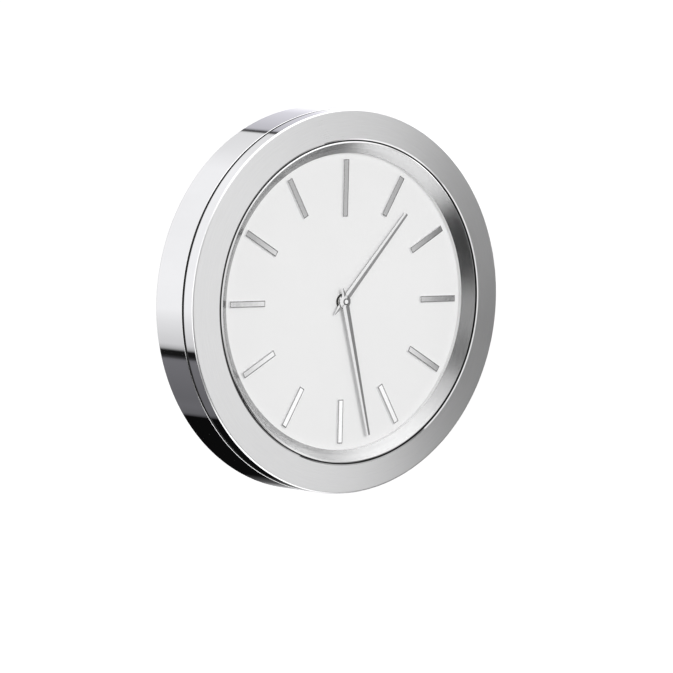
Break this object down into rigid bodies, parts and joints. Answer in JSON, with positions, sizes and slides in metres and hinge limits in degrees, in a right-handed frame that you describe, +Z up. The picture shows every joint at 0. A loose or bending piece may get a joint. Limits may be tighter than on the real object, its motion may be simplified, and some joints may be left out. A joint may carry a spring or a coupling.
{
  "type": "ship's deck clock",
  "caption": "Round flangeless bulkhead clock: polished drum, satin conical bezel and reflector ring, white dial with applied batons, two slim hands, bayonet wall plate, quartz movement.",
  "frame": {"origin": "centre of the mounting plate's back face, which lies on the bulkhead", "axes": "+Y into the bulkhead, so the dial faces -Y; +Z up; +X to the right of someone reading the dial"},
  "size_m": [0.18, 0.032, 0.18],
  "materials": {
    "polished_steel": "mirror polished",
    "satin_steel": "fine satin",
    "polished_trim": "diamond cut, polished",
    "dial_white": "matt white lacquer",
    "clear_glass": "clear, coated against glare",
    "black_rubber": "matt",
    "zinc_steel": "zinc plated",
    "clamp_plastic": "moulded",
    "housing_plastic": "moulded",
    "wheel_plastic": "moulded acetal",
    "brass": "turned",
    "copper_wire": "enamelled wire",
    "silicon_iron": "stamped",
    "battery_wrap": "plain printed wrap",
    "circuit_green": "solder mask",
    "knob_plastic": "moulded"
  },
  "bodies": {
    "wall": {"mounting_plate": "satin_steel"},
    "case": {"bayonet_ring": "zinc_steel", "bayonet_ring_screws": "zinc_steel", "rear_cover": "clamp_plastic", "rear_cover_seal": "black_rubber", "rear_cover_screws": "zinc_steel", "case_body": "polished_steel", "seam_seal": "black_rubber", "bezel": "satin_steel", "reflector_ring": "satin_steel", "reflector_seal": "black_rubber", "crystal": "clear_glass", "dial": "dial_white", "hour_marker_01": "polished_trim", "hour_marker_02": "polished_trim", "hour_marker_03": "polished_trim", "hour_marker_04": "polished_trim", "hour_marker_05": "polished_trim", "hour_marker_06": "polished_trim", "hour_marker_07": "polished_trim", "hour_marker_08": "polished_trim", "hour_marker_09": "polished_trim", "hour_marker_10": "polished_trim", "hour_marker_11": "polished_trim", "hour_marker_12": "polished_trim", "dial_clamp_ring": "clamp_plastic", "clamp_ring_screws": "zinc_steel", "dial_studs": "brass", "movement_screws": "zinc_steel", "movement_front_shell": "housing_plastic", "movement_back_cover": "housing_plastic", "train_bridge": "housing_plastic", "battery_cell": "battery_wrap", "battery_plate_contact": "zinc_steel", "battery_spring_contact": "zinc_steel", "circuit_board": "circuit_green", "quartz_can": "zinc_steel", "stator": "silicon_iron", "stator_core": "silicon_iron", "coil_bobbin": "wheel_plastic", "coil_winding": "copper_wire"},
    "minutes": {"minute_arbor": "brass", "minute_hand": "polished_trim", "hand_cap": "polished_trim"},
    "hours": {"hour_wheel": "wheel_plastic", "hour_hand": "polished_trim"},
    "motion": {"motion_wheel": "wheel_plastic"},
    "knob": {"setting_knob": "knob_plastic"},
    "rotor_shaft": {"rotor": "silicon_iron"},
    "intermediate": {"intermediate_wheel": "wheel_plastic"},
    "seconds": {"seconds_wheel": "wheel_plastic"},
    "third": {"third_wheel": "wheel_plastic"},
    "centre": {"centre_wheel": "wheel_plastic", "friction_washer": "zinc_steel"}
  },
  "joints": [
    {"name": "twist_lock", "type": "hinge", "parent": "wall", "child": "case", "pos_m": [0, 0, 0], "axis": [0, -1, 0], "range_deg": [0, 40]},
    {"name": "minute_spin", "type": "hinge", "parent": "case", "child": "minutes", "pos_m": [0, 0, 0], "axis": [0, 1, 0], "continuous": true},
    {"name": "hour_spin", "type": "hinge", "parent": "case", "child": "hours", "pos_m": [0, 0, 0], "axis": [0, 1, 0], "continuous": true},
    {"name": "motion_spin", "type": "hinge", "parent": "case", "child": "motion", "pos_m": [0.0048, 0, 0.00831], "axis": [0, 1, 0], "continuous": true},
    {"name": "knob_spin", "type": "hinge", "parent": "case", "child": "knob", "pos_m": [0.0144, 0, 0.00831], "axis": [0, 1, 0], "continuous": true},
    {"name": "rotor_spin", "type": "hinge", "parent": "case", "child": "rotor_shaft", "pos_m": [0.00988, 0, 0.01618], "axis": [0, 1, 0], "continuous": true},
    {"name": "intermediate_spin", "type": "hinge", "parent": "case", "child": "intermediate", "pos_m": [0.00397, 0, 0.01723], "axis": [0, 1, 0], "continuous": true},
    {"name": "seconds_spin", "type": "hinge", "parent": "case", "child": "seconds", "pos_m": [-0.00425, 0, 0.01423], "axis": [0, 1, 0], "continuous": true},
    {"name": "third_spin", "type": "hinge", "parent": "case", "child": "third", "pos_m": [-0.00935, 0, 0.0054], "axis": [0, 1, 0], "continuous": true},
    {"name": "centre_spin", "type": "hinge", "parent": "case", "child": "centre", "pos_m": [0, 0, 0], "axis": [0, 1, 0], "continuous": true}
  ],
  "couplings": [
    {"joint": "motion_spin", "follows": "minute_spin", "ratio": -0.33333},
    {"joint": "hour_spin", "follows": "minute_spin", "ratio": 0.083333},
    {"joint": "knob_spin", "follows": "minute_spin", "ratio": 1},
    {"joint": "intermediate_spin", "follows": "rotor_spin", "ratio": -0.2},
    {"joint": "seconds_spin", "follows": "rotor_spin", "ratio": 0.033333},
    {"joint": "third_spin", "follows": "rotor_spin", "ratio": -0.0044444},
    {"joint": "centre_spin", "follows": "rotor_spin", "ratio": 0.00055556}
  ]
}
